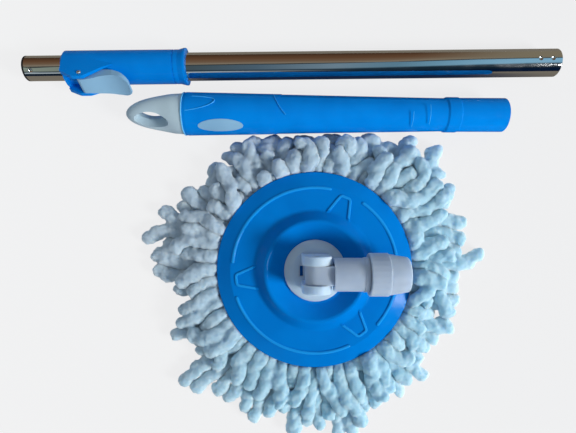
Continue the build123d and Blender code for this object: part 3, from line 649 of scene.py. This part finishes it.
# %% Rivet head
lever_axis = Vector((0.0, 0.5, 0.866))
pin_low, pin_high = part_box("lever_pin")
head_r = 1.9 * mm
head_top_r = 0.6 * head_r
head_height = 0.9 * mm
head_offset = 12.1 * mm
head_centre = (pin_low + pin_high) / 2 + lever_axis * head_offset
bpy.ops.mesh.primitive_cone_add(
    vertices=32, radius1=head_r, radius2=head_top_r, depth=head_height)
rivet = bpy.context.object
rivet.name = "pin_head"
rivet.location = head_centre
rivet.rotation_euler = lever_axis.to_track_quat("Z", "X").to_euler()
edge = rivet.modifiers.new("edge", "BEVEL")
edge.width = 0.25 * mm
edge.segments = 3
rivet.data.materials.append(bright_rivet.material)
rivet.data.shade_smooth()
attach(rivet, "outer_pole")
print("rivet head at", [round(v / mm, 1) for v in head_centre])

# %% [markdown]
# ## Where the strands lie
# The refill is a ring of soft microfibre strands. Lying on a floor they fan out from under the
# disc, pile on each other and stop where the grip lies. Drawing each one by hand would look
# drawn, so each starts as a wandering line of beads, and a small position-based simulation lets
# the beads push apart, sink to the floor and keep clear of the disc and the grip.

# %% Measures taken from the frame
disc_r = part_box("head_disc")[1].x
mat_top_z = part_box("strand_mat")[1].z
grip_y = (shell_low.y + shell_high.y) / 2
grip_r = (shell_high.y - shell_low.y) / 2
# The disc's underside is low at the rim and high inside the skirt's radius.
rim_under_z = 16.8 * mm
flat_under_z = 21.4 * mm
skirt_r = 69.0 * mm
print("disc radius", round(disc_r / mm, 1), "grip radius", round(grip_r / mm, 1))

# %% How far the strands reach
strand_r = 6.2 * mm
root_r = 60 * mm
usual_reach = 133  # in mm, as are the lengths in reach()
# Upper layers are higher, end sooner and wander more.
layers = (
    {"name": "lower", "count": 40, "height": 5.5 * mm, "extra": 0.0, "curl": 0.15},
    {"name": "middle", "count": 40, "height": 10.0 * mm, "extra": -4 * mm, "curl": 0.19},
    {"name": "upper", "count": 34, "height": 14.5 * mm, "extra": -10 * mm, "curl": 0.22},
)


def toward(angle, degrees, width):
    """1 where an angle points at a side of the head, falling to 0 over a width in degrees."""
    off = (angle - radians(degrees) + pi) % tau - pi
    return np.exp(-(off / radians(width)) ** 2)


def reach(angle):
    """How far the fan of strands goes from the head's axis, towards an angle."""
    longer = 9 * toward(angle, 170, 16) + 17 * toward(angle, 226, 12) + 15 * toward(angle, 268, 22)
    longer += 9 * toward(angle, 18, 14) + 11 * toward(angle, 297, 12)
    longer += 7 * toward(angle, 52, 12)
    shorter = 8 * toward(angle, 320, 12) + 6 * toward(angle, 205, 12) + 9 * toward(angle, 122, 10)
    tufts = 3.5 * sin(9 * angle + 0.6) + 3.0 * sin(14 * angle + 2.0)
    return (usual_reach + longer - shorter + tufts) * mm


def curliness(angle):
    """Strands on the right are kinked; below they lie straighter."""
    kinked = 0.95 + 0.8 * toward(angle, 20, 50) + 0.3 * toward(angle, 180, 40)
    return kinked - 0.3 * toward(angle, 275, 30)


sides = {name: radians(turn) for name, turn in (("right", 0), ("top", 90), ("left", 180))}
print({name: round(reach(angle) / mm) for name, angle in sides.items()}, "mm reach")

# %% One wandering line per strand
rng = np.random.default_rng(11)
bead_gap = 5.0 * mm


def wandering_line(angle, height, length, curl):
    """Beads from the root outwards, with a heading that drifts."""
    count = int(length / bead_gap) + 1
    point = np.array([root_r * cos(angle), root_r * sin(angle), height])
    beads = [point]
    drift = 0.0
    for number in range(1, count):
        drift = 0.7 * drift + rng.normal(0, curl)
        heading = angle + drift * min(1.0, number / 5)
        step = np.array([cos(heading), sin(heading), rng.normal(0, 0.12)])
        beads.append(beads[-1] + bead_gap * step / np.linalg.norm(step))
    return np.array(beads)


strands = []
for layer in layers:
    for number in range(layer["count"]):
        angle = tau * (number + rng.uniform(-0.35, 0.35)) / layer["count"] - pi
        length = reach(angle) - root_r + layer["extra"] + rng.uniform(-16, 9) * mm
        length *= 1 + 0.06 * curliness(angle)
        curl = layer["curl"] * curliness(angle)
        strands.append({
            "layer": layer["name"],
            "thick": strand_r * rng.uniform(0.88, 1.12),
            "twist": rng.uniform(0, tau),
            "beads": wandering_line(angle, layer["height"], length, curl),
        })
print(len(strands), "strands,", sum(len(s["beads"]) for s in strands), "beads")

# %% [markdown]
# ## Letting the strands settle
# Position-based dynamics needs no forces: each round moves every bead a little down, then
# repairs what is broken. Beads of one strand keep their spacing, beads of different strands
# push apart, and none may enter the floor, the disc or the grip. A little over a hundred rounds
# are enough. Room is left for the fluff that is added afterwards.

# %% What holds the beads
push_share = 0.45
spring_share = 0.8
fluff_room = 1.6 * mm
rim_room = 3.0 * mm


def neighbours(place, owner, limit):
    """Pairs of beads of different strands that are closer than the limit."""
    pairs = []
    for number in range(len(place)):
        offset = place[number + 1:] - place[number]
        close = np.flatnonzero((offset ** 2).sum(1) < limit ** 2) + number + 1
        close = close[owner[close] != owner[number]]
        pairs.append(np.stack([np.full(len(close), number), close]))
    return np.concatenate(pairs, axis=1)


def shift(place, a, b, offset):
    """Moves each pair of beads apart by its offset, shared by both."""
    np.add.at(place, a, -0.5 * offset)
    np.add.at(place, b, 0.5 * offset)


def push_apart(place, radius, a, b):
    """Beads that overlap move apart by a share of the overlap."""
    gap = place[b] - place[a]
    distance = np.maximum(np.linalg.norm(gap, axis=1), 1e-6)
    overlap = np.maximum(radius[a] + radius[b] - distance, 0)
    shift(place, a, b, push_share * gap * (overlap / distance)[:, None])


def keep_spacing(place, a, b, length):
    """Beads of one strand go back towards their own distance."""
    gap = place[b] - place[a]
    distance = np.maximum(np.linalg.norm(gap, axis=1), 1e-6)
    shift(place, a, b, spring_share * gap * ((length - distance) / distance)[:, None])


def keep_clear(place, radius):
    """The floor below, the disc above and the grip beside."""
    place[:, 2] = np.maximum(place[:, 2], radius)
    away = np.hypot(place[:, 0], place[:, 1])
    under = np.where(away < skirt_r, flat_under_z, rim_under_z) - fluff_room
    beneath = away < disc_r + rim_room
    place[:, 2] = np.where(beneath, np.minimum(place[:, 2], under - radius), place[:, 2])
    place[:, 2] = np.minimum(place[:, 2], mat_top_z - 0.6 * radius)
    side = np.stack([place[:, 1] - grip_y, place[:, 2] - grip_r], axis=1)
    distance = np.maximum(np.linalg.norm(side, axis=1), 1e-6)
    inside = np.maximum(grip_r + radius + fluff_room - distance, 0)
    place[:, 1] -= inside


# %% Settle
rounds_per_search = 8
search_r = 2.6 * strand_r
bead_share = 0.9
sink = 0.25 * mm


def settle(strands, rounds):
    """Moves the beads of all the strands to rest, in place; the first two of each are sewn in."""
    place = np.concatenate([s["beads"] for s in strands])
    radius = np.concatenate([np.full(len(s["beads"]), s["thick"] * bead_share) for s in strands])
    owner = np.concatenate([np.full(len(s["beads"]), i) for i, s in enumerate(strands)])
    along = np.concatenate([np.arange(len(s["beads"])) for s in strands])
    radius *= np.clip(0.62 + 0.08 * along, 0, 1)
    sewn = along < 2
    start = place.copy()
    first = np.flatnonzero(owner[1:] == owner[:-1])
    second = np.flatnonzero(owner[2:] == owner[:-2])
    links = [(first, first + 1), (second, second + 2)]
    rest = [np.linalg.norm(place[b] - place[a], axis=1) for a, b in links]
    for number in range(rounds):
        if number % rounds_per_search == 0:
            near_a, near_b = neighbours(place, owner, search_r)
        place[:, 2] -= sink
        push_apart(place, radius, near_a, near_b)
        for (a, b), length in zip(links, rest):
            keep_spacing(place, a, b, length)
        keep_clear(place, radius)
        place[sewn] = start[sewn]
    for strand, beads in zip(strands, np.split(place, np.flatnonzero(np.diff(owner)) + 1)):
        strand["beads"] = beads


settle(strands, rounds=110)
tips = np.array([s["beads"][-1] for s in strands])
print("tips reach", np.round(np.hypot(tips[:, 0], tips[:, 1]).max() / mm, 1), "mm from the axis")

# %% [markdown]
# ## Twisting the strands
# Each strand is two fluffy plies twisted together, so its section is a soft figure of eight that
# turns along its length. A tube is swept over the beads with that section, closed and rounded at
# both ends. The pile of strands that touch is one woolly surface, not many hard tubes, so each
# layer is remeshed in small voxels, which melts them together, and then smoothed. Cloud
# displacement breaks it up, first in lumps and then in tufts, and a last step presses it flat
# on the floor and under the disc.

# %% Sweep one strand
ring_points = 18
ring_step = 1.3 * mm
curve_steps = 6
twist_pitch = 23 * mm
tip_round = 5.0 * mm
root_taper = 18 * mm
swell_length = 5.3 * mm


def smooth_path(beads):
    """Points at even steps on a Catmull-Rom curve through the beads."""
    padded = np.vstack([2 * beads[0] - beads[1], beads, 2 * beads[-1] - beads[-2]])
    t = np.linspace(0, 1, curve_steps, endpoint=False)[:, None]
    points = []
    for p0, p1, p2, p3 in zip(padded, padded[1:], padded[2:], padded[3:]):
        points.append(0.5 * (2 * p1 + (p2 - p0) * t + (2 * p0 - 5 * p1 + 4 * p2 - p3) * t**2
                             + (3 * p1 - p0 - 3 * p2 + p3) * t**3))
    points = np.vstack(points + [beads[-1:]])
    run = np.concatenate([[0], np.cumsum(np.linalg.norm(np.diff(points, axis=0), axis=1))])
    even = np.linspace(0, run[-1], max(int(run[-1] / ring_step), 8))
    return np.stack([np.interp(even, run, points[:, axis]) for axis in range(3)], axis=1), even


def side_vectors(path):
    """A steady sideways and upward direction at each point of a path."""
    forward = np.gradient(path, axis=0)
    forward /= np.linalg.norm(forward, axis=1)[:, None]
    sideways = np.cross([0, 0, 1], forward)
    sideways /= np.linalg.norm(sideways, axis=1)[:, None]
    return sideways, np.cross(forward, sideways)


def strand_mesh(strand):
    """Vertices and faces of one twisted strand."""
    path, run = smooth_path(strand["beads"])
    sideways, upward = side_vectors(path)
    turn = np.linspace(0, tau, ring_points, endpoint=False)
    phase = strand["twist"] + tau * run / twist_pitch
    lobe = np.abs(np.cos(turn[None, :] - phase[:, None])) ** 0.75
    end = np.clip(np.minimum(run, run[-1] - run) / tip_round, 0, 1)
    taper = np.sqrt(1 - (1 - end) ** 2) * np.clip(0.6 + 0.4 * run / root_taper, 0, 1)
    swell = 1 + 0.10 * np.sin(run / swell_length + 2 * strand["twist"])
    radius = strand["thick"] * (taper * swell)[:, None] * (0.84 + 0.22 * lobe)
    across, over = np.cos(turn)[None, :, None], np.sin(turn)[None, :, None]
    ring = sideways[:, None] * across + upward[:, None] * over
    points = path[:, None] + radius[:, :, None] * ring
    rows, columns = np.meshgrid(np.arange(len(path) - 1), np.arange(ring_points), indexing="ij")
    corner = rows * ring_points + columns
    beside = rows * ring_points + (columns + 1) % ring_points
    faces = np.stack([corner, beside, beside + ring_points, corner + ring_points], axis=-1)
    return points.reshape(-1, 3), faces.reshape(-1, 4)


print("one strand has", len(strand_mesh(strands[0])[0]), "points")

# %% Melt, fluff and press
voxel = 1.0 * mm
melt_rounds = 5
lumps = (7 * mm, 3.2 * mm)
tufts = (2.6 * mm, 1.1 * mm)
disc_gap = 0.3 * mm
floor_gap = 0.1 * mm


def melt(piece):
    """Strands that touch become one soft surface."""
    joined = piece.modifiers.new("melt", "REMESH")
    joined.mode = "VOXEL"
    joined.voxel_size = voxel
    joined.use_smooth_shade = True
    eased = piece.modifiers.new("ease", "SMOOTH")
    eased.factor = 0.5
    eased.iterations = melt_rounds


def fluff(piece, name, size, strength):
    """Displaces a piece by soft clouds of one size."""
    clouds = bpy.data.textures.new(name, "CLOUDS")
    clouds.noise_scale = size
    clouds.noise_depth = 1
    bulge = piece.modifiers.new(name, "DISPLACE")
    bulge.texture = clouds
    bulge.texture_coords = "GLOBAL"
    bulge.strength = strength
    bulge.mid_level = 0.5


def press(piece):
    """The shaped pile as a plain mesh, pressed flat where it would enter the floor or the disc."""
    shaped = piece.evaluated_get(bpy.context.evaluated_depsgraph_get())
    mesh = bpy.data.meshes.new_from_object(shaped)
    points = np.empty(len(mesh.vertices) * 3)
    mesh.vertices.foreach_get("co", points)
    points = points.reshape(-1, 3)
    away = np.hypot(points[:, 0], points[:, 1])
    ceiling = np.where(away < skirt_r, flat_under_z, rim_under_z) - disc_gap
    under_disc = away < disc_r + disc_gap
    points[under_disc, 2] = np.minimum(points[under_disc, 2], ceiling[under_disc])
    points[:, 2] = np.maximum(points[:, 2], floor_gap)
    mesh.vertices.foreach_set("co", points.ravel())
    mesh.update()
    piece.modifiers.clear()
    piece.data = mesh


# %% [markdown]
# ## Microfibre
# Chenille microfibre is dull and pale. Its fibres carry light from strand to strand, so the depths
# of the pile glow almost white where hard plastic would be black. Subsurface scattering stands for
# that, and so does painted light: a paler tone low in the pile. The colour of the light is painted
# in as well: towards the far left the pile is painted greyer, and towards the lower right bluer.

# %% Microfibre
microfibre_depth = 9 * mm


def microfibre():
    """Pile in soft patches of tone, painted greyer to the upper left and bluer to the lower right,
    and painted paler deep in the pile.
    """
    finish = Finish("microfibre")
    x, y, z = finish.axes()
    patches = finish.smooth(finish.noise(16 * mm, 3), 0.3, 0.7)
    # Painted light: the pile is greyer towards the upper left and bluer towards the lower right.
    painted_grey_side = finish.smooth(x - y, 0.10, -0.16)
    painted_cyan_pile = finish.mix(patches, colour(160, 200, 218), colour(176, 211, 227))
    painted_grey_pile = finish.mix(patches, colour(174, 190, 202), colour(190, 206, 218))
    outer_pile = finish.mix(painted_grey_side, painted_cyan_pile, painted_grey_pile)
    # Painted light: the pile is made paler towards the floor, deep in the pile.
    painted_depth_light = finish.smooth(z, 14 * mm, 3 * mm) * 0.8
    pile = finish.noise(0.9 * mm, 3)
    finish.set(
        Base_Color=finish.mix(painted_depth_light, outer_pile, colour(226, 242, 250)),
        Roughness=0.95,
        Specular_IOR_Level=0.1,
        Subsurface_Weight=0.9,
        Subsurface_Scale=microfibre_depth,
        Subsurface_Radius=blue_spread,
        Sheen_Weight=0.3,
        Normal=finish.bump(pile, 0.35 * mm, 0.6),
    )
    return finish.material


microfibre_material = microfibre()
print(microfibre_material.name, "made")

# %% Build the three layers
for layer in layers:
    parts = [strand_mesh(s) for s in strands if s["layer"] == layer["name"]]
    offsets = np.cumsum([0] + [len(points) for points, faces in parts])
    points = np.vstack([points for points, faces in parts])
    faces = np.vstack([faces + start for (_, faces), start in zip(parts, offsets)])
    mesh = bpy.data.meshes.new("strands_" + layer["name"])
    mesh.from_pydata(points.tolist(), [], faces.tolist())
    mesh.shade_smooth()
    mesh.materials.append(microfibre_material)
    piece = bpy.data.objects.new(mesh.name, mesh)
    bpy.context.scene.collection.objects.link(piece)
    melt(piece)
    fluff(piece, layer["name"] + "_lumps", *lumps)
    fluff(piece, layer["name"] + "_tufts", *tufts)
    press(piece)
    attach(piece, "head")
    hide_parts("strand_mat")
    print(piece.name, len(points), "points")
